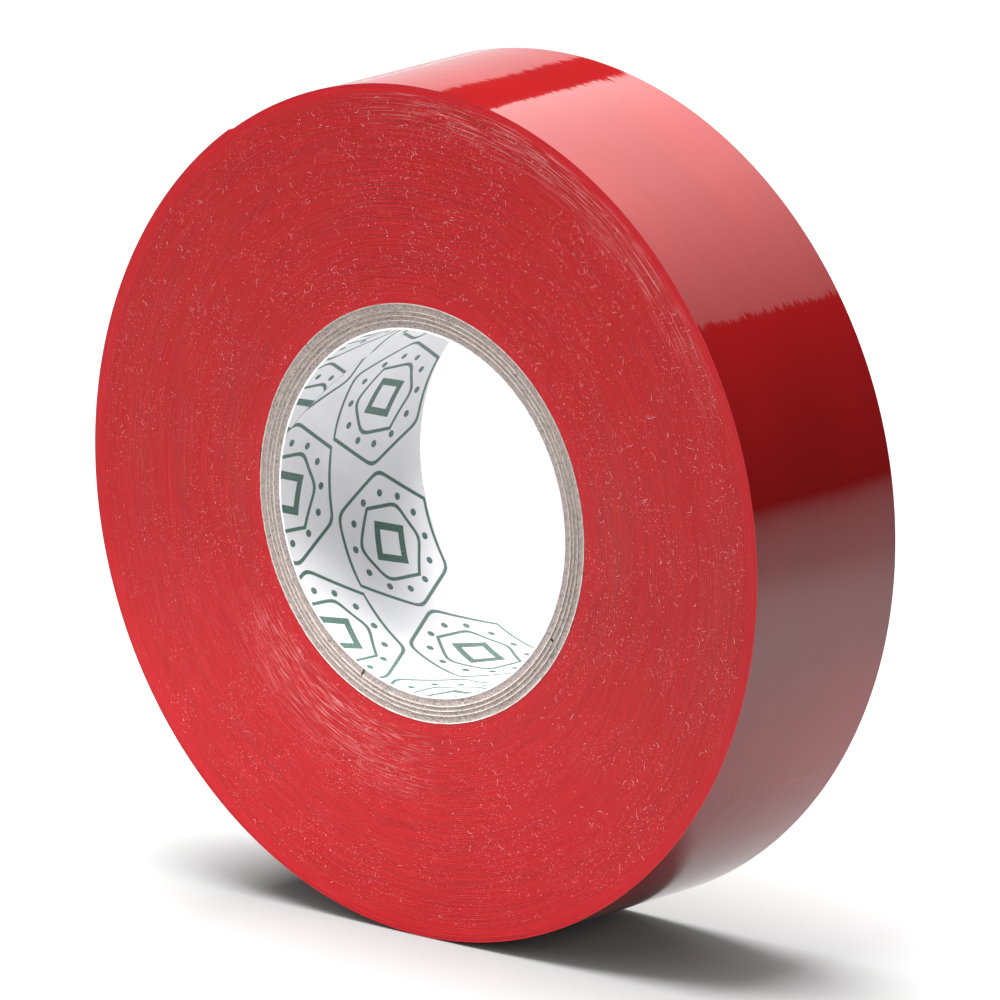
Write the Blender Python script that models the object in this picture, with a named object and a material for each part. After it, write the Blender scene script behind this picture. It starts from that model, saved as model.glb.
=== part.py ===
"""A roll of electrical tape standing on its rim.

The frame: the origin is the centre of the roll, its axis lies along Y, the printed front
face looks along -Y, and +Z is up. Units are metres. Angles are turns about the roll's axis,
seen from the front: 0 at +X, growing anticlockwise.

From the inside out the roll is a thin printed liner, four plies of grey board that make the
core, the tape wound on the core, and the last short length of tape, which peels.
"""

import math

import bmesh
import bpy
from mathutils import Matrix, Vector

# Driving dimensions
TAPE_WIDTH = 0.01905
TAPE_THICKNESS = 0.000178
ROLL_RADIUS = 0.0388
BORE_RADIUS = 0.01655
LINER_THICKNESS = 0.00015
PLY_THICKNESSES = (0.00069, 0.00041, 0.00043, 0.00067)  # soft board at the bore and outside, denser between
GLUE_LINE = 0.00005  # clearance between one wound layer and the next
CORE_RADIUS = BORE_RADIUS + LINER_THICKNESS + sum(PLY_THICKNESSES)
CLEARANCE = 0.00003  # between the free end and the turn that it lies on

# The butt seams, where a strip's two edges meet round the core
SEAM_GAP = 0.0003
SEAM_SLANT = math.radians(42)  # from the circumference
LINER_SEAM = math.radians(126)
PLY_SEAM_STEP = math.radians(83)  # each ply's seam from the one under it

# The free end of the tape, on the upper left of the rim. A facet's edge lies at each angle.
FACETS = 96
FACET = 2 * math.pi / FACETS
HALF_FACET = FACET / 2  # stands the roll on the middle of a facet
TIP_ANGLE = 33 * FACET + HALF_FACET
PEEL_ANGLE = 41 * FACET + HALF_FACET
ROOT_GAP = 0.0001  # between the free end and the turn that it leaves

VINYL_RED = (0.52, 0.012, 0.018, 1)
PAPER_WHITE = (0.62, 0.60, 0.57, 1)
BOARD_GREY = (0.34, 0.30, 0.27, 1)


def material(name, colour, roughness):
    """A dielectric of one colour."""
    made = bpy.data.materials.new(name)
    made.use_nodes = True
    shader = made.node_tree.nodes["Principled BSDF"]
    shader.inputs["Base Color"].default_value = colour
    shader.inputs["Roughness"].default_value = roughness
    shader.inputs["Metallic"].default_value = 0.0
    return made


def on_roll(radius, angle, y=0.0):
    """The point at a radius and an angle round the roll's axis."""
    return Vector((radius * math.cos(angle), y, radius * math.sin(angle)))


def turned_body(name, outline, wall, width, closed):
    """A layer of the roll: its outer outline, extruded inwards by its wall, then across its width.

    outline lists (angle, radius), and wall gives the inner radius at an angle and an outer radius.
    """
    mesh = bmesh.new()
    front = -width / 2
    outer = [mesh.verts.new(on_roll(radius, angle, front)) for angle, radius in outline]
    count = len(outer)
    steps = range(count if closed else count - 1)
    edges = [mesh.edges.new((outer[i], outer[(i + 1) % count])) for i in steps]
    grown = bmesh.ops.extrude_edge_only(mesh, edges=edges)["geom"]
    for vert in (part for part in grown if isinstance(part, bmesh.types.BMVert)):
        angle = math.atan2(vert.co.z, vert.co.x)
        vert.co = on_roll(wall(angle, math.hypot(vert.co.x, vert.co.z)), angle, front)
    bmesh.ops.remove_doubles(mesh, verts=mesh.verts, dist=1e-6)
    deep = bmesh.ops.extrude_face_region(mesh, geom=mesh.faces[:])["geom"]
    moved = [part for part in deep if isinstance(part, bmesh.types.BMVert)]
    bmesh.ops.translate(mesh, verts=moved, vec=(0, width, 0))
    bmesh.ops.recalc_face_normals(mesh, faces=mesh.faces)
    data = bpy.data.meshes.new(name)
    mesh.to_mesh(data)
    mesh.free()
    data.shade_smooth()
    data.set_sharp_from_angle(angle=math.radians(30))
    body = bpy.data.objects.new(name, data)
    bpy.context.scene.collection.objects.link(body)
    return body


def facet_angles(first, count):
    """Angles of facet edges, from the first on."""
    return [first + i * FACET for i in range(count)]


def seam_cutter(name, angle, radius):
    """A thin slab along a strip's butt seam: radial at the seam's middle and slanting across the width."""
    mesh = bmesh.new()
    bmesh.ops.create_cube(mesh, size=1)
    length = 3 * TAPE_WIDTH
    depth = 0.5 * radius
    bmesh.ops.scale(mesh, verts=mesh.verts, vec=(depth, length, SEAM_GAP))
    bmesh.ops.rotate(mesh, verts=mesh.verts, matrix=Matrix.Rotation(SEAM_SLANT - math.pi / 2, 3, "X"))
    bmesh.ops.translate(mesh, verts=mesh.verts, vec=(radius, 0, 0))
    data = bpy.data.meshes.new(name)
    mesh.to_mesh(data)
    mesh.free()
    cutter = bpy.data.objects.new(name, data)
    bpy.context.scene.collection.objects.link(cutter)
    cutter.rotation_euler = (0, -angle, 0)
    cutter.hide_render = True
    cutter.display_type = "WIRE"
    return cutter


def wound_layer(name, inner, outer, seam, finish):
    """A strip of paper or board bent into a ring, its edges meeting in a slanting butt seam."""
    outline = [(angle, outer) for angle in facet_angles(HALF_FACET, FACETS)]
    layer = turned_body(name, outline, lambda angle, radius: inner, TAPE_WIDTH, closed=True)
    layer.data.materials.append(finish)
    cut = layer.modifiers.new("butt seam", "BOOLEAN")
    cut.operation = "DIFFERENCE"
    cut.object = seam_cutter(name + "_seam", seam, (inner + outer) / 2)
    return layer


def spiral_radius(turned):
    """The roll's outer radius, from the tip of the tape back along it by an angle."""
    return ROLL_RADIUS - TAPE_THICKNESS * turned / (2 * math.pi)


def wound_tape(finish):
    """All the turns of the tape, down to the core, with a recess for the free end."""
    recess_steps = round((PEEL_ANGLE - TIP_ANGLE) / FACET)
    recess = [
        (angle, spiral_radius(angle - TIP_ANGLE) - TAPE_THICKNESS - CLEARANCE)
        for angle in facet_angles(TIP_ANGLE, recess_steps + 1)
    ]
    last_turn = [
        (angle, spiral_radius(angle - TIP_ANGLE))
        for angle in facet_angles(PEEL_ANGLE, FACETS - recess_steps + 1)
    ]
    inner = CORE_RADIUS + GLUE_LINE
    tape = turned_body("wound_tape", recess + last_turn, lambda angle, radius: inner, TAPE_WIDTH, closed=True)
    tape.data.materials.append(finish)
    return tape


def free_end(finish):
    """The last length of tape, parented to an empty on the line where it peels from the roll."""
    root_angle = PEEL_ANGLE - ROOT_GAP / ROLL_RADIUS
    angles = facet_angles(TIP_ANGLE, round((PEEL_ANGLE - TIP_ANGLE) / FACET)) + [root_angle]
    outline = [(angle, spiral_radius(angle - TIP_ANGLE)) for angle in angles]
    tab = turned_body(
        "free_end", outline, lambda angle, radius: radius - TAPE_THICKNESS, TAPE_WIDTH, closed=False
    )
    tab.data.materials.append(finish)
    peel_line = bpy.data.objects.new("peel_line", None)
    bpy.context.scene.collection.objects.link(peel_line)
    peel_line.location = on_roll(spiral_radius(PEEL_ANGLE - TIP_ANGLE), PEEL_ANGLE)
    tab.parent = peel_line
    tab.data.transform(Matrix.Translation(-peel_line.location))
    return tab


def core(paper, board):
    """The printed liner in the bore, and the board plies glued round it."""
    wound_layer("printed_liner", BORE_RADIUS, BORE_RADIUS + LINER_THICKNESS, LINER_SEAM, paper)
    outer = BORE_RADIUS + LINER_THICKNESS
    for number, thickness in enumerate(PLY_THICKNESSES, start=1):
        inner = outer + GLUE_LINE
        outer += thickness
        seam = LINER_SEAM + number * PLY_SEAM_STEP
        wound_layer(f"core_ply_{number}", inner, outer, seam, board)


for old in list(bpy.data.objects):
    bpy.data.objects.remove(old, do_unlink=True)

vinyl = material("red vinyl", VINYL_RED, 0.25)
core(material("liner paper", PAPER_WHITE, 0.7), material("grey board", BOARD_GREY, 0.9))
wound_tape(vinyl)
free_end(vinyl)
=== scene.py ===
"""A roll of red electrical tape, standing on its rim: liner, core plies, wound tape, free end and lint."""

import math
import random

import bmesh
import bpy
from mathutils import Matrix, Vector, noise


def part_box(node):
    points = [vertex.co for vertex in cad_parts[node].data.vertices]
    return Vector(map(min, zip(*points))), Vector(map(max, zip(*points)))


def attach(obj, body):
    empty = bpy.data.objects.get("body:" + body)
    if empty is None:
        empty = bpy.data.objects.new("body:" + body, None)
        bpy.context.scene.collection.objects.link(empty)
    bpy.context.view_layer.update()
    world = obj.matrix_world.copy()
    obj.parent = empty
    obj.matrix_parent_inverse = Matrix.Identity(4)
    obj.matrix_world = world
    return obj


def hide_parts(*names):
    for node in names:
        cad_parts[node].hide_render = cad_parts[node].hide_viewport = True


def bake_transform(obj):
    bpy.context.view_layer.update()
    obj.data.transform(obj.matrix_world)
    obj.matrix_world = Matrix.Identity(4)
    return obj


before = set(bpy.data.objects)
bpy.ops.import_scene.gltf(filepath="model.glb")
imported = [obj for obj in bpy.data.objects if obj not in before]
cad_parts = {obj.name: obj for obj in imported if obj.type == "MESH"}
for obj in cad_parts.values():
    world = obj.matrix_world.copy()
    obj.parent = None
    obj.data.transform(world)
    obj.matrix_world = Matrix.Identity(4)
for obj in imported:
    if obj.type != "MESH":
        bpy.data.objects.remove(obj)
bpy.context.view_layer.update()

# ---- Camera ----
# A long lens that stands a little above the roll and to the right of its front face, so the
# printed bore, the front face and the glossy rim all show.
SENSOR = 0.036
CAMERA_AZIMUTH = math.radians(40.6)
CAMERA_ELEVATION = math.radians(14.0)
CAMERA_DISTANCE = 1.552
CAMERA_TARGET = Vector((0.00104, 0.0, -0.00037))
LENS_MM = 628.8

camera = bpy.data.objects.new("camera", bpy.data.cameras.new("camera"))
bpy.context.scene.collection.objects.link(camera)
camera.data.sensor_width = SENSOR * 1000
camera.data.lens = LENS_MM
towards_camera = Vector(
    (
        math.sin(CAMERA_AZIMUTH) * math.cos(CAMERA_ELEVATION),
        -math.cos(CAMERA_AZIMUTH) * math.cos(CAMERA_ELEVATION),
        math.sin(CAMERA_ELEVATION),
    )
)
camera.location = CAMERA_TARGET + CAMERA_DISTANCE * towards_camera
camera.rotation_mode = "QUATERNION"
camera.rotation_quaternion = (-towards_camera).to_track_quat("-Z", "Y")
camera.data.clip_end = 20
bpy.context.scene.camera = camera
bpy.context.scene.view_settings.view_transform = "Standard"

# ---- Printed liner ----
# A strip of thin white paper, printed green while it is flat. It is wound on the mandrel first,
# at a slant, so its two edges meet in a seam that crosses the bore from front to back.
LINER_SEAM = math.radians(126)
SEAM_TURN = math.radians(-75)  # how far a seam goes round from the front edge to the back edge
LINER_JOINT = 0.00012
LINER_CELLS = (300, 24, 1)
FRAY_SCALE = 2600  # how many times a metre the cut fibres change
SNUG = 0.000006  # what is left between two wound layers
MARK_PITCH = 0.0138
MARK_ROW_PITCH = 0.0120
MARK_ROW = 0.0033  # the middle of the rear row of marks
MARK_START = math.radians(207)
MARK_TURN = math.radians(63)
LINE_HALF_WIDTH = 0.00017
OUTER_HEXAGON = 0.0115  # across flats
INNER_HEXAGON = 0.0068
HEXAGON_ROUNDING = 0.0012
DIAMOND_REACH = 0.0021
DIAMOND_HALF_WIDTH = 0.0005
MARK_DOTS = 12
DOT_RING_RADIUS = 0.0046
DOT_RADIUS = 0.00034
INK_SPREAD = 0.00004  # how far ink bleeds at the edge of a line
INK_DEPTH = 0.02  # share of the paper's thickness that the ink reaches
PAPER_FIBRES = 2600  # noise cells to the metre
PAPER_COLOUR = (0.75, 0.745, 0.765)
INK_GREEN = (0.022, 0.098, 0.066)


def radii(node):
    """The smallest and largest distance of a CAD node's corners from the roll's axis."""
    reach = [math.hypot(vert.co.x, vert.co.z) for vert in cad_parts[node].data.vertices]
    return min(reach), max(reach)


def on_roll(radius, angle, y):
    """A point round the roll's axis: angle 0 is at +X, and it grows anticlockwise seen from the front."""
    return Vector((radius * math.cos(angle), y, radius * math.sin(angle)))


def piece_from(mesh, name, finishes):
    """A shown object from a finished bmesh, smooth but for its sharp edges."""
    data = bpy.data.meshes.new(name)
    mesh.to_mesh(data)
    mesh.free()
    data.shade_smooth()
    data.set_sharp_from_angle(angle=math.radians(40))
    for finish in finishes:
        data.materials.append(finish)
    piece = bpy.data.objects.new(name, data)
    bpy.context.scene.collection.objects.link(piece)
    return piece


def flat_strip(along, across, through):
    """A closed flat strip: x runs 0 to 1 along it, y -0.5 to 0.5 across it, and z 0 to 1 through it.

    Its faces are turned in, because bending it round the roll mirrors it and turns them out again.
    """
    strip = bmesh.new()
    bmesh.ops.create_grid(strip, x_segments=along, y_segments=across, size=0.5)
    top = bmesh.ops.extrude_face_region(strip, geom=strip.faces[:])["geom"]
    raised = [part for part in top if isinstance(part, bmesh.types.BMVert)]
    bmesh.ops.translate(strip, verts=raised, vec=(0, 0, 1))
    if through > 1:
        upright = [edge for edge in strip.edges if abs(edge.verts[0].co.z - edge.verts[1].co.z) > 0.5]
        bmesh.ops.subdivide_edges(strip, edges=upright, cuts=through - 1, use_grid_fill=True)
    bmesh.ops.translate(strip, verts=strip.verts, vec=(0.5, 0, 0))
    bmesh.ops.recalc_face_normals(strip, faces=strip.faces)
    bmesh.ops.reverse_faces(strip, faces=strip.faces)
    return strip


def wound_strip(name, node, outer, seam, joint, finish, cells, fray, burr):
    """A strip of paper or board bent into a ring round the CAD node's inner radius, with a slanting seam.

    Its end faces are frayed, and the knife leaves a burr on their outer edge.
    """
    inner, _ = radii(node)
    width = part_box(node)[1].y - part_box(node)[0].y
    along, across, through = cells
    strip = flat_strip(along, across, through)
    flat = strip.loops.layers.uv.new("flat")
    depth = strip.verts.layers.float.new("depth")
    joint_angle = joint / inner

    def angle_at(x, y):
        """The angle round the roll of a place along the strip and across it."""
        return seam + SEAM_TURN * y + joint_angle / 2 + (2 * math.pi - joint_angle) * x

    for face in strip.faces:
        for loop in face.loops:
            x, y, _ = loop.vert.co
            loop[flat].uv = (angle_at(x, y) * inner, y * width)
    for vert in strip.verts:
        x, y, z = vert.co
        vert[depth] = z
        angle = angle_at(x, y)
        radius = inner + (outer - inner) * z
        at_edge = max(0.0, abs(y) * 2 * across - (across - 1))
        pulled = noise.noise(on_roll(radius * FRAY_SCALE, angle, 3 + y * FRAY_SCALE * width))
        ragged = at_edge * (fray * (0.7 + pulled) - burr * z ** 4)
        vert.co = on_roll(radius, angle, y * (width - 2 * ragged))
    return piece_from(strip, name, [finish])


class Finish:
    """A material, with the nodes that make its colour, roughness and bump."""

    def __init__(self, name):
        self.material = bpy.data.materials.new(name)
        self.material.use_nodes = True
        self.tree = self.material.node_tree
        self.shader = self.tree.nodes["Principled BSDF"]
        self.place = self.add("TexCoord").outputs["Object"]

    def add(self, kind, **settings):
        """A new node of one kind, with its settings."""
        made = self.tree.nodes.new("ShaderNode" + kind)
        for key, value in settings.items():
            setattr(made, key, value)
        return made

    def feed(self, socket, value):
        """Link another node's socket to this one, or give it a plain value."""
        if isinstance(value, bpy.types.NodeSocket):
            self.tree.links.new(value, socket)
        elif hasattr(value, "__len__") and len(value) == 3 and socket.type == "RGBA":
            socket.default_value = (*value, 1)
        else:
            socket.default_value = value

    def math(self, operation, *values):
        made = self.add("Math", operation=operation)
        for socket, value in zip(made.inputs, values):
            self.feed(socket, value)
        return made.outputs[0]

    def length(self, across, up):
        """The length of a flat vector."""
        squares = [self.math("MULTIPLY", part, part) for part in (across, up)]
        return self.math("SQRT", self.math("ADD", *squares))

    def turned(self, across, up, angle):
        """A flat vector's part along a direction at an angle."""
        along = self.math("MULTIPLY", across, math.cos(angle))
        return self.math("ADD", along, self.math("MULTIPLY", up, math.sin(angle)))

    def split(self, vector):
        made = self.add("SeparateXYZ")
        self.feed(made.inputs[0], vector)
        return made.outputs

    def join(self, *values):
        made = self.add("CombineXYZ")
        for socket, value in zip(made.inputs, values):
            self.feed(socket, value)
        return made.outputs[0]

    def noise(self, place, scale, detail=2.0, roughness=0.5):
        made = self.add("TexNoise")
        settings = {"Vector": place, "Scale": scale, "Detail": detail, "Roughness": roughness}
        for key, value in settings.items():
            self.feed(made.inputs[key], value)
        return made.outputs["Fac"]

    def band(self, value, low, high, start=0.0, end=1.0):
        """start below low, end above high, and smooth between them."""
        made = self.add("MapRange", interpolation_type="SMOOTHSTEP")
        for socket, fed in zip(made.inputs, (value, low, high, start, end)):
            self.feed(socket, fed)
        return made.outputs[0]

    def mix(self, share, first, second):
        made = self.add("Mix", data_type="RGBA")
        self.feed(made.inputs[0], share)
        self.feed(made.inputs[6], first)
        self.feed(made.inputs[7], second)
        return made.outputs[2]

    def bump(self, height, distance, normal=None):
        made = self.add("Bump")
        self.feed(made.inputs["Height"], height)
        self.feed(made.inputs["Distance"], distance)
        if normal is not None:
            self.feed(made.inputs["Normal"], normal)
        return made.outputs[0]

    def set(self, **values):
        """Feed the shader's sockets, and give the finished material."""
        for key, value in values.items():
            self.feed(self.shader.inputs[key.replace("_", " ")], value)
        return self.material

    def polar(self):
        """Distance from the roll's axis, the cosine and sine of the angle round it, and y along it."""
        x, y, z = self.split(self.place)
        radius = self.length(x, z)
        return radius, self.math("DIVIDE", x, radius), self.math("DIVIDE", z, radius), y


def stroke(finish, distance, half_width):
    """1 on a printed line whose middle is at distance 0, 0 off it, with a soft edge."""
    away = finish.math("ABSOLUTE", distance)
    return finish.band(away, half_width - INK_SPREAD, half_width + INK_SPREAD, 1.0, 0.0)


def printed_paper():
    """White paper with two staggered rows of a plain mark: two hexagons, a ring of dots and a diamond."""
    paper = Finish("printed paper")
    flat = paper.add("UVMap", uv_map="flat").outputs[0]
    along, across, _ = paper.split(flat)
    front_row = paper.math("LESS_THAN", across, MARK_ROW - MARK_ROW_PITCH / 2)
    shift = paper.math("MULTIPLY", front_row, MARK_PITCH / 2)
    start = MARK_START * radii("printed_liner")[0]
    shifted = paper.math("ADD", paper.math("SUBTRACT", along, start), shift)
    wrapped = paper.math("WRAP", shifted, MARK_PITCH / 2, -MARK_PITCH / 2)
    lowered = paper.math("MULTIPLY", front_row, MARK_ROW_PITCH)
    down = paper.math("ADD", paper.math("SUBTRACT", across, MARK_ROW), lowered)
    mark = paper.add("VectorRotate", rotation_type="Z_AXIS")
    paper.feed(mark.inputs["Vector"], paper.join(wrapped, down, 0.0))
    paper.feed(mark.inputs["Angle"], MARK_TURN)
    u, v, _ = paper.split(mark.outputs[0])
    ink = 0.0
    # two hexagons, one turned against the other, and a diamond in the middle
    for corner_turn, across_flats in ((0.0, OUTER_HEXAGON), (math.pi / 2, INNER_HEXAGON)):
        p = paper.math("ABSOLUTE", paper.turned(u, v, corner_turn))
        q = paper.math("ABSOLUTE", paper.turned(u, v, corner_turn + math.pi / 2))
        slant = paper.turned(p, q, math.pi / 6)
        hexagon = paper.math("SMOOTH_MAX", q, slant, HEXAGON_ROUNDING)
        line = stroke(paper, paper.math("SUBTRACT", hexagon, across_flats / 2), LINE_HALF_WIDTH)
        ink = paper.math("MAXIMUM", ink, line)
    diamond = paper.math("ADD", paper.math("ABSOLUTE", u), paper.math("ABSOLUTE", v))
    diamond_line = stroke(paper, paper.math("SUBTRACT", diamond, DIAMOND_REACH), DIAMOND_HALF_WIDTH)
    ink = paper.math("MAXIMUM", ink, diamond_line)
    # a ring of dots between the hexagons
    reach = paper.length(u, v)
    step = math.pi / MARK_DOTS
    bearing = paper.math("WRAP", paper.math("ARCTAN2", v, u), step, -step)
    outwards = paper.math("MULTIPLY", reach, paper.math("COSINE", bearing))
    sideways = paper.math("MULTIPLY", reach, paper.math("SINE", bearing))
    from_dot = paper.length(paper.math("SUBTRACT", outwards, DOT_RING_RADIUS), sideways)
    ink = paper.math("MAXIMUM", ink, stroke(paper, from_dot, DOT_RADIUS))
    # only the side that the bore shows is printed, and the ink is a little worn
    depth = paper.add("Attribute", attribute_name="depth").outputs["Fac"]
    ink = paper.math("MULTIPLY", ink, paper.math("LESS_THAN", depth, INK_DEPTH))
    worn = paper.noise(flat, 9000, 3.0, 0.7)
    ink = paper.math("MULTIPLY", ink, paper.band(worn, 0.25, 0.55, 0.55, 1.0))
    fibres = paper.noise(flat, PAPER_FIBRES, 4.0, 0.6)
    mottle = paper.noise(flat, 240, 2.0)
    shaded = tuple(0.94 * part for part in PAPER_COLOUR)
    white = paper.mix(paper.band(mottle, 0.3, 0.7), PAPER_COLOUR, shaded)
    rough = paper.band(fibres, 0.3, 0.7, 0.42, 0.6)
    return paper.set(
        Base_Color=paper.mix(ink, white, INK_GREEN), Roughness=rough, Normal=paper.bump(fibres, 0.000006)
    )


liner = wound_strip(
    "liner_paper", "printed_liner", radii("core_ply_1")[0] - SNUG, LINER_SEAM, LINER_JOINT,
    printed_paper(), LINER_CELLS, fray=0.00003, burr=0.0,
)
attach(liner, "roll")
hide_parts("printed_liner")

# ---- Core plies ----
# Four strips of grey recycled board, wound one on the next over the liner with their seams apart,
# glued, and sliced to the tape's width with a knife that leaves a fibrous end face.
PLY_SEAM_STEP = math.radians(83)
PLY_JOINT = 0.0003
PLY_CELLS = (480, 10, 4)
BOARD_LIGHT = (0.39, 0.325, 0.30)
BOARD_DARK = (0.085, 0.066, 0.058)
GLUE_PALE = (0.62, 0.56, 0.51)
BOARD_LAYERS = 9000  # noise cells to the metre through the board
LAYER_TURNS = 60  # and how often they change round it
BOARD_FIBRES = 5200
BOARD_FLECKS = 1700


def grey_board():
    """Grey chipboard: layered fibres round the end face, darker flecks, and a pale skin on each side."""
    board = Finish("grey board")
    radius, cosine, sine, _ = board.polar()
    through = board.math("MULTIPLY", radius, BOARD_LAYERS)
    round_x = board.math("MULTIPLY", cosine, LAYER_TURNS)
    round_z = board.math("MULTIPLY", sine, LAYER_TURNS)
    layers = board.noise(board.join(through, round_x, round_z), 1.0, 3.0, 0.7)
    fibres = board.noise(board.place, BOARD_FIBRES, 4.0, 0.75)
    flecks = board.noise(board.place, BOARD_FLECKS, 2.0, 0.6)
    colour = board.mix(board.band(layers, 0.3, 0.68), BOARD_DARK, BOARD_LIGHT)
    colour = board.mix(board.band(fibres, 0.35, 0.65, 0.0, 0.75), colour, BOARD_LIGHT)
    colour = board.mix(board.band(flecks, 0.62, 0.75, 0.0, 0.5), colour, BOARD_DARK)
    depth = board.add("Attribute", attribute_name="depth").outputs["Fac"]
    skin = board.math("MULTIPLY", board.band(depth, 0.80, 0.92), board.band(flecks, 0.25, 0.55, 0.2, 0.85))
    colour = board.mix(skin, colour, GLUE_PALE)
    height = board.math("ADD", layers, fibres)
    return board.set(Base_Color=colour, Roughness=0.85, Normal=board.bump(height, 0.00006))


board_finish = grey_board()
next_layers = ("core_ply_2", "core_ply_3", "core_ply_4", "wound_tape")
ply_outer = [radii(layer)[0] - SNUG for layer in next_layers]
for number, outer in enumerate(ply_outer, start=1):
    ply = wound_strip(
        f"board_ply_{number}", f"core_ply_{number}", outer, LINER_SEAM + number * PLY_SEAM_STEP, PLY_JOINT,
        board_finish, PLY_CELLS, fray=0.00006, burr=0.00009,
    )
    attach(ply, "roll")
    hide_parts(f"core_ply_{number}")

# ---- Wound tape ----
# One strip of red vinyl film with a thin coat of rubber adhesive, wound tight on the core. Its cut
# edges make the side faces: each turn stands a hair proud or low, with a groove of glue between.
# The last turn before the free end is a true length of tape, laid over the wound body.
TAPE_THICKNESS = 0.000178
FILM_GAP = 0.000003
TIP_ANGLE = math.radians(125.625)
TAB_TURN = math.radians(45)  # how much of the last turn is made with the free end
FACE_COLUMNS = 144
GROOVE = 0.000018
SIDE_SHAKE = 0.000009
RIM_ROUNDING = 0.00004
RIM_ROUNDED = 0.0012
FIRST_TURNED = TAB_TURN + 2 * math.pi  # the wound body lies under the free end and the last turn
START_STEP = 0.03  # of a turn
ROW_PLACES = (0.0, 0.22, 0.78)  # of a turn's thickness, from the groove on its outer side
FACE_INSET = 0.000036  # how far the last turn's edges stand in from the roll's faces
FILM_SLOPE = 0.000004
RING_PITCH = 0.00022
BROAD_PITCH = 0.0030
# pitch of the painted sheen lines and the faint scuffs
SHEEN_AND_SCUFF_PITCH = 0.00008
# directions where the painted sheen lines are strongest: under the rim, and round the core
RIM_SHEEN_SIDE = math.radians(62)
CORE_SHEEN_SIDE = math.radians(240)
DUST_GRAINS = 7600  # noise cells to the metre
ROLL_RADIUS = radii("free_end")[1]
CORE_RADIUS = radii("wound_tape")[0]
_, TAPE_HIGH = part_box("wound_tape")
FILM_RED = (0.150, 0.0032, 0.0040)
FILM_BRIGHT = (0.168, 0.0035, 0.0044)
EDGE_RED = (0.36, 0.0058, 0.0090)
# also the colour of the painted highlight band at the rim and the brighter band round the core
EDGE_BRIGHT = (0.375, 0.0055, 0.0100)
EDGE_SHADE = (0.285, 0.0042, 0.0070)
# pale colour of the dust, also laid on the lines as painted sheen
DUST_AND_SHEEN = (0.74, 0.36, 0.36)
GLUE_DARK = (0.16, 0.006, 0.008)
GLUE_RED = (0.24, 0.009, 0.012)


def spiral_radius(turned):
    """Outer radius of the tape, an angle back along it from its tip."""
    return ROLL_RADIUS - TAPE_THICKNESS * turned / (2 * math.pi)


def cut_edge():
    """The cut edges of the turns: fine red rings, a painted highlight band at the rim, painted sheen on
    the turns, faint scuffs and dust.
    """
    edge = Finish("cut vinyl edges")
    radius, cosine, sine, _ = edge.polar()
    inwards = edge.math("SUBTRACT", ROLL_RADIUS, radius)
    outwards = edge.math("SUBTRACT", radius, CORE_RADIUS)

    def rings(pitch, reach, detail):
        """Noise drawn out round the roll: pitch apart, and reach long."""
        across = edge.math("DIVIDE", radius, pitch)
        turns = ROLL_RADIUS / reach
        place = edge.join(across, edge.math("MULTIPLY", cosine, turns), edge.math("MULTIPLY", sine, turns))
        return edge.noise(place, 1.0, detail, 0.6)

    def side(angle, narrow, wide):
        """1 in one direction from the axis, and 0 well away from it."""
        return edge.band(edge.turned(cosine, sine, angle), math.cos(wide), math.cos(narrow))

    def ring(distance, rises, risen, falls, fallen):
        """1 between two distances from the rim or the core, and 0 outside them."""
        inside = edge.band(distance, rises, risen)
        return edge.math("MULTIPLY", inside, edge.band(distance, falls, fallen, 1.0, 0.0))

    fine = rings(RING_PITCH, 0.009, 2.0)
    broad = rings(BROAD_PITCH, 0.030, 2.0)
    colour = edge.mix(edge.band(fine, 0.3, 0.7), EDGE_SHADE, EDGE_RED)
    colour = edge.mix(edge.band(broad, 0.3, 0.7, 0.0, 0.35), colour, EDGE_BRIGHT)
    uneven = edge.math("ADD", inwards, edge.math("MULTIPLY", broad, 0.0006))
    # painted highlight: the edge colour brightened in a band just inside the rim; a brighter band round
    # the core as well
    rim_highlight_band = edge.band(uneven, 0.0011, 0.0020, 1.0, 0.0)
    core_band = edge.band(outwards, 0.0003, 0.0020, 0.8, 0.0)
    colour = edge.mix(edge.math("MAXIMUM", rim_highlight_band, core_band), colour, EDGE_BRIGHT)
    # painted sheen: pale lines on the turns under the rim on the upper right and round the core on the
    # lower left, where they catch the light, with faint scuffs on the same lines all round
    sheen_and_scuff = edge.band(rings(SHEEN_AND_SCUFF_PITCH, 0.0042, 3.0), 0.51, 0.68)
    rim_sheen_side = side(RIM_SHEEN_SIDE, math.radians(8), math.radians(48))
    core_sheen_side = side(CORE_SHEEN_SIDE, math.radians(4), math.radians(40))
    sheen_under_rim = edge.math("MULTIPLY", ring(inwards, 0.0005, 0.0013, 0.0018, 0.0055), rim_sheen_side)
    sheen_by_core = edge.math("MULTIPLY", ring(outwards, 0.0006, 0.0022, 0.003, 0.010), core_sheen_side)
    # share of the painted sheen colour on the lines, at least a faint scuff everywhere
    where = edge.math("MULTIPLY", sheen_under_rim, 0.5)
    where = edge.math("MAXIMUM", where, edge.math("MULTIPLY", sheen_by_core, 0.55))
    where = edge.math("MAXIMUM", where, 0.03)
    colour = edge.mix(edge.math("MULTIPLY", sheen_and_scuff, where), colour, DUST_AND_SHEEN)
    # dust, in patches, but none on the painted highlight band at the rim
    grains = edge.band(edge.noise(edge.place, DUST_GRAINS, 2.0, 0.55), 0.645, 0.74)
    patches = edge.band(edge.noise(edge.place, 190, 3.0, 0.6), 0.36, 0.62, 0.10, 0.85)
    off_band = edge.band(inwards, 0.0009, 0.0017)
    grains = edge.math("MULTIPLY", edge.math("MULTIPLY", grains, patches), off_band)
    colour = edge.mix(grains, colour, DUST_AND_SHEEN)
    rough = edge.band(broad, 0.3, 0.7, 0.36, 0.50)
    edge.shader.inputs["Specular IOR Level"].default_value = 0.18
    return edge.set(Base_Color=colour, Roughness=rough, Normal=edge.bump(fine, 0.000008))


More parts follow.
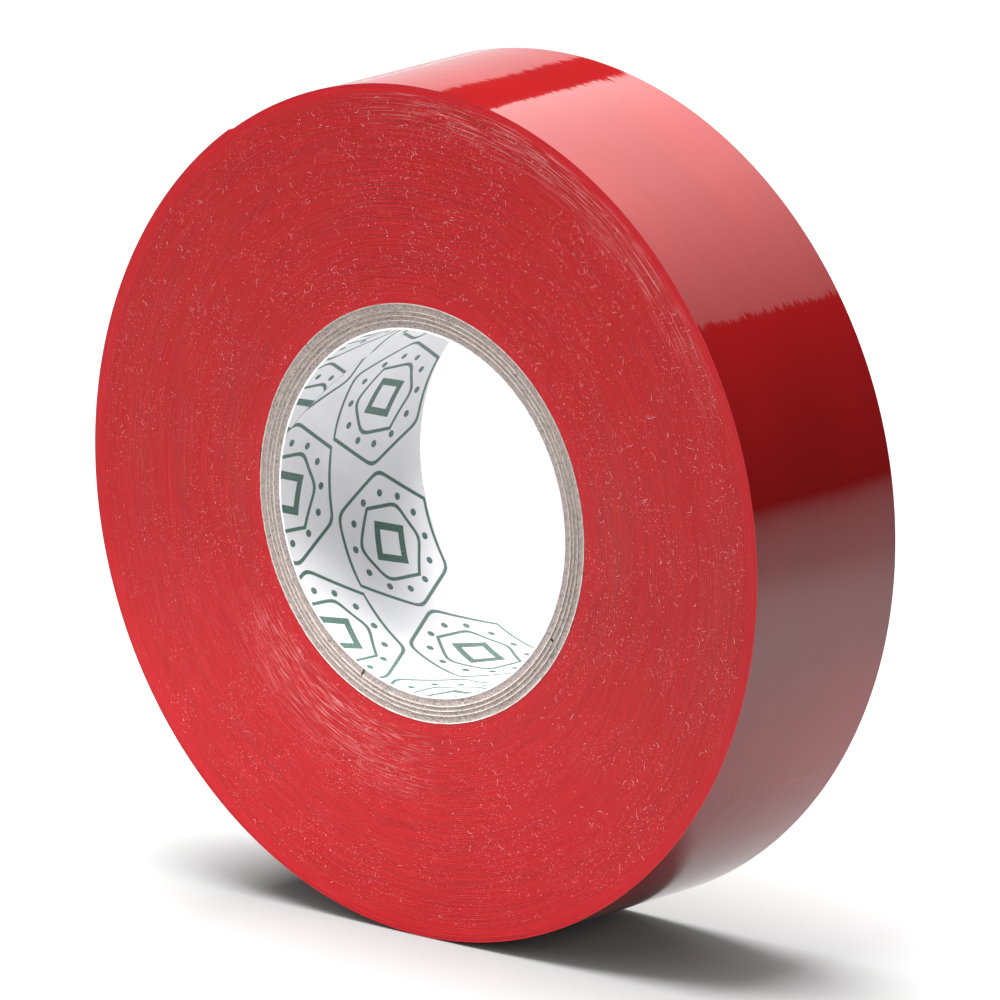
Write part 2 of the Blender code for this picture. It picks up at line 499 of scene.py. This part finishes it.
def glossy_film():
    """The outer side of the film: smooth calendered vinyl with faint lines drawn along its length."""
    film = Finish("glossy vinyl film")
    _, cosine, sine, y = film.polar()

    def drawn(pitch, reach, detail):
        """Noise drawn out along the tape: pitch apart across it, and reach long."""
        turns = ROLL_RADIUS / reach
        round_x = film.math("MULTIPLY", cosine, turns)
        round_z = film.math("MULTIPLY", sine, turns)
        return film.noise(film.join(round_x, round_z, film.math("DIVIDE", y, pitch)), 1.0, detail, 0.5)

    lines = drawn(0.0011, 0.007, 3.0)
    waves = drawn(0.009, 0.020, 1.0)
    colour = film.mix(film.band(waves, 0.3, 0.7), FILM_RED, FILM_BRIGHT)
    normal = film.bump(lines, 0.000015, film.bump(waves, 0.00006))
    return film.set(Base_Color=colour, Roughness=0.05, Normal=normal)


def adhesive_side():
    """The inner side of the tape: a thin, slightly tacky coat of rubber adhesive that darkens the red."""
    glue = Finish("rubber adhesive")
    ropes = glue.noise(glue.place, 900, 3.0, 0.6)
    colour = glue.mix(glue.band(ropes, 0.3, 0.7), GLUE_DARK, GLUE_RED)
    rough = glue.band(ropes, 0.3, 0.7, 0.3, 0.45)
    return glue.set(Base_Color=colour, Roughness=rough, Normal=glue.bump(ropes, 0.00001))


def side_shake(turned, angle):
    """How far a turn's edge stands out of line, which drifts slowly along the tape."""
    turn = turned / (2 * math.pi)
    drift = noise.noise(Vector((turn * 0.9, 1.5 * math.cos(angle), 1.5 * math.sin(angle))))
    step = noise.noise(Vector((turn * 7.3, 2.0 * math.cos(angle), 2.0 * math.sin(angle) + 9)))
    return SIDE_SHAKE * (drift + 0.8 * step)


def wound_face(mesh, turns, side):
    """One side face of the roll, as a spiral sheet with three rows of corners to a turn.

    The innermost turns lie round on the core and step up over the tape's start; outwards the step fades.
    """
    rows = 3 * turns
    outer = spiral_radius(FIRST_TURNED)
    pitch = (outer - CORE_RADIUS) / (turns + 1)
    grid = bmesh.ops.create_grid(mesh, x_segments=FACE_COLUMNS, y_segments=rows, size=0.5)["verts"]
    for vert in grid:
        share = round((vert.co.x + 0.5) * FACE_COLUMNS) / FACE_COLUMNS
        whole, third = divmod(round((vert.co.y + 0.5) * rows), 3)
        level = whole + ROW_PLACES[third]
        stepped = (level / turns) ** 4
        step = min(share / START_STEP, 1.0)
        falls = (1 - stepped) * share + stepped * step * step * (3 - 2 * step)
        radius = outer - pitch * (level + falls)
        turned = FIRST_TURNED + 2 * math.pi * (whole + share)
        angle = TIP_ANGLE + FIRST_TURNED + 2 * math.pi * share
        near_rim = max(0.0, 1 - (ROLL_RADIUS - radius) / RIM_ROUNDED)
        dip = RIM_ROUNDING * near_rim ** 2 + (GROOVE if third == 0 else 0.0)
        vert.co = on_roll(radius, angle, side * (TAPE_HIGH.y - dip + side_shake(turned, angle)))
    bmesh.ops.remove_doubles(mesh, verts=grid, dist=1e-7)


film_finish = glossy_film()
edge_finish = cut_edge()
glue_finish = adhesive_side()

turn_count = round((spiral_radius(FIRST_TURNED) - CORE_RADIUS) / TAPE_THICKNESS) - 1
wound = bmesh.new()
wound_face(wound, turn_count, -1)
wound_face(wound, turn_count, 1)
open_edges = [edge for edge in wound.edges if edge.is_boundary]
middle = (ROLL_RADIUS + CORE_RADIUS) / 2
for outer_wall in (True, False):
    wall = [
        edge
        for edge in open_edges
        if (math.hypot(edge.verts[0].co.x, edge.verts[0].co.z) > middle) == outer_wall
    ]
    bmesh.ops.bridge_loops(wound, edges=wall)
bmesh.ops.recalc_face_normals(wound, faces=wound.faces)
wound_body = piece_from(wound, "wound_turns", [edge_finish, film_finish])
for face in wound_body.data.polygons:
    face.material_index = 0 if abs(face.normal.y) > 0.7 else 1
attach(wound_body, "roll")
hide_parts("wound_tape")


def tape_strip(name, turned_from, turned_to, along, across):
    """A true length of tape: film outside, adhesive inside, and a cut edge on each side."""
    strip = flat_strip(along, across, 1)
    for vert in strip.verts:
        x, y, z = vert.co
        turned = turned_from + (turned_to - turned_from) * x
        angle = TIP_ANGLE + turned
        sideways = 0.5 * math.sin(math.pi * y)
        radius = spiral_radius(turned) - (TAPE_THICKNESS - FILM_GAP) * (1 - z)
        half = TAPE_HIGH.y - FACE_INSET - FILM_SLOPE * (1 - z) + side_shake(turned, angle)
        vert.co = on_roll(radius, angle, 2 * sideways * half)
    piece = piece_from(strip, name, [film_finish, glue_finish, edge_finish])
    for face in piece.data.polygons:
        outwards = Vector((face.center.x, 0, face.center.z)).normalized().dot(face.normal)
        face.material_index = 0 if outwards > 0.5 else 1 if outwards < -0.5 else 2
    return piece


last_turn = tape_strip("last_turn", TAB_TURN, TAB_TURN + 2 * math.pi, 480, 28)
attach(last_turn, "roll")

# ---- Free end ----
# The last few centimetres of the same strip, held only by its adhesive. It lies on the turn below.
free_end = tape_strip("peeling_end", 0.0, TAB_TURN, 160, 28)
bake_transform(free_end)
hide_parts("free_end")

# ---- Lint ----
# Crumbs and short curled fibres of packing paper, which the tacky edges of the tape pick up.
# They lie loose on the side faces, thickest just inside the rim and round the core.
LINT_COUNT = 1400  # on each side face
LINT_PINK = (0.72, 0.36, 0.36)
LINT_PALE = (0.86, 0.62, 0.60)
FIBRE_SHARE = 0.42
FIBRE_SIDES = 3
THICK_SIDE = math.radians(50)  # where the front face has the most


def lint_finish():
    """Fine pale fibre, pinkish where the red shows through it."""
    fibre = Finish("lint")
    tone = fibre.noise(fibre.place, 3000, 1.0)
    colour = fibre.mix(fibre.band(tone, 0.35, 0.65), LINT_PINK, LINT_PALE)
    return fibre.set(Base_Color=colour, Roughness=0.7)


def lint_place(chance):
    """A radius and an angle on a side face, more often near the rim and on the thick side."""
    while True:
        share = chance.uniform(0, 1)
        angle = chance.uniform(0, 2 * math.pi)
        thickness = 0.35 + 0.35 * math.cos(angle - THICK_SIDE) + 0.3 * (abs(2 * share - 1)) ** 3
        if chance.uniform(0, 1) < thickness:
            return CORE_RADIUS + 0.0004 + (ROLL_RADIUS - CORE_RADIUS - 0.0018) * share ** 0.8, angle


def lint_on(name, side, seed):
    """Lint on one side face: each bit a thin triangular thread, spun round the centre of its curl."""
    chance = random.Random(seed)
    data = bpy.data.meshes.new(name)
    whole = bmesh.new()
    for _ in range(LINT_COUNT):
        radius, angle = lint_place(chance)
        is_fibre = chance.uniform(0, 1) < FIBRE_SHARE
        length = chance.uniform(0.00014, 0.0007) if is_fibre else chance.uniform(0.00003, 0.00012)
        thick = chance.uniform(0.000007, 0.000012) if is_fibre else chance.uniform(0.000012, 0.000028)
        curl_radius = chance.choice((-1, 1)) * length / chance.uniform(0.3, 2.8)
        heading = Matrix.Rotation(chance.uniform(0, 2 * math.pi), 3, "Y")
        start = on_roll(radius, angle, side * (TAPE_HIGH.y + 0.3 * thick))
        bit = bmesh.new()
        ring = bmesh.ops.create_circle(bit, cap_ends=False, segments=FIBRE_SIDES, radius=thick)["verts"]
        bmesh.ops.rotate(bit, verts=ring, matrix=heading)
        bmesh.ops.translate(bit, verts=ring, vec=start)
        first = bit.edges[:]
        spun = bmesh.ops.spin(
            bit, geom=first + ring, cent=start + heading @ Vector((curl_radius, 0, 0)), axis=(0, 1, 0),
            angle=length / curl_radius, steps=6 if is_fibre else 1, use_duplicate=False,
        )["geom_last"]
        last = [part for part in spun if isinstance(part, bmesh.types.BMEdge)]
        bmesh.ops.edgeloop_fill(bit, edges=first)
        bmesh.ops.edgeloop_fill(bit, edges=last)
        bmesh.ops.recalc_face_normals(bit, faces=bit.faces)
        bit.to_mesh(data)
        bit.free()
        whole.from_mesh(data)
    lint = piece_from(whole, name, [lint_material])
    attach(lint, "roll")


lint_material = lint_finish()
lint_on("lint_front", -1, 4)
lint_on("lint_back", 1, 5)

# ---- Floor and light ----
# A plain pale floor. A wide soft box behind gives the rim its highlight, a big one overhead lights
# the floor and the top, and small ones near the floor lift the front face and the rim from below.
FLOOR_SIZE = 6.0
FLOOR_WHITE = (0.245, 0.245, 0.245)

floor_mesh = bmesh.new()
bmesh.ops.create_grid(floor_mesh, x_segments=1, y_segments=1, size=FLOOR_SIZE / 2)
bmesh.ops.translate(floor_mesh, verts=floor_mesh.verts, vec=(0, 0, -ROLL_RADIUS))
floor_finish = Finish("pale floor")
floor_finish.set(Base_Color=FLOOR_WHITE, Roughness=0.9)
floor = piece_from(floor_mesh, "floor", [floor_finish.material])


def soft_box(name, azimuth, elevation, width, height, radiance, distance=0.7, near_edge=1.0):
    """A studio light that faces the roll's centre; azimuth 0 is in front, and it grows to the right.

    The light falls to near_edge times its strength along its right edge, as its bulb stands to the left.
    """
    light = bpy.data.objects.new(name, bpy.data.lights.new(name, "AREA"))
    bpy.context.scene.collection.objects.link(light)
    light.data.shape = "RECTANGLE"
    light.data.size = width
    light.data.size_y = height
    light.data.energy = math.pi * width * height * radiance
    light.visible_camera = False  # no view shows the lamp itself
    turn, rise = math.radians(azimuth), math.radians(elevation)
    aim = Vector((math.sin(turn) * math.cos(rise), -math.cos(turn) * math.cos(rise), math.sin(rise)))
    light.location = aim * distance
    light.rotation_mode = "QUATERNION"
    light.rotation_quaternion = aim.to_track_quat("Z", "Y")
    if near_edge < 1:
        light.data.use_nodes = True
        tree = light.data.node_tree
        across = tree.nodes.new("ShaderNodeSeparateXYZ")
        tree.links.new(tree.nodes.new("ShaderNodeNewGeometry").outputs["Parametric"], across.inputs[0])
        fall = tree.nodes.new("ShaderNodeMapRange")
        fall.inputs["To Min"].default_value = near_edge
        fall.inputs["From Max"].default_value = 0.5
        tree.links.new(across.outputs[0], fall.inputs["Value"])
        tree.links.new(fall.outputs[0], tree.nodes["Emission"].inputs["Strength"])
    return light


soft_box("back_box", 180.5, 49, 0.774, 0.393, 2.4, near_edge=0.42)
soft_box("low_back_box", 222, 9, 0.34, 0.27, 0.85)
soft_box("top_box", -90, 79, 0.8, 0.8, 21.5, distance=0.85)
soft_box("front_top_box", 0, 70, 0.35, 0.35, 3.0, distance=0.6)
low_front_box = soft_box("low_front_box", 0, 0, 0.14, 0.03, 2.6)
low_front_box.location = (-0.03, -0.10, -0.022)
near_floor_box = soft_box("near_floor_box", 0, 90, 0.09, 0.09, 2.0)
near_floor_box.location = (-0.015, -0.075, -0.006)
side_floor_box = soft_box("side_floor_box", 0, 90, 0.10, 0.10, 3.6)
side_floor_box.location = (0.105, 0.05, -0.008)

world = bpy.data.worlds.new("studio")
bpy.context.scene.world = world
world.use_nodes = True
world.node_tree.nodes["Background"].inputs["Color"].default_value = (1, 1, 1, 1)
world.node_tree.nodes["Background"].inputs["Strength"].default_value = 0.05
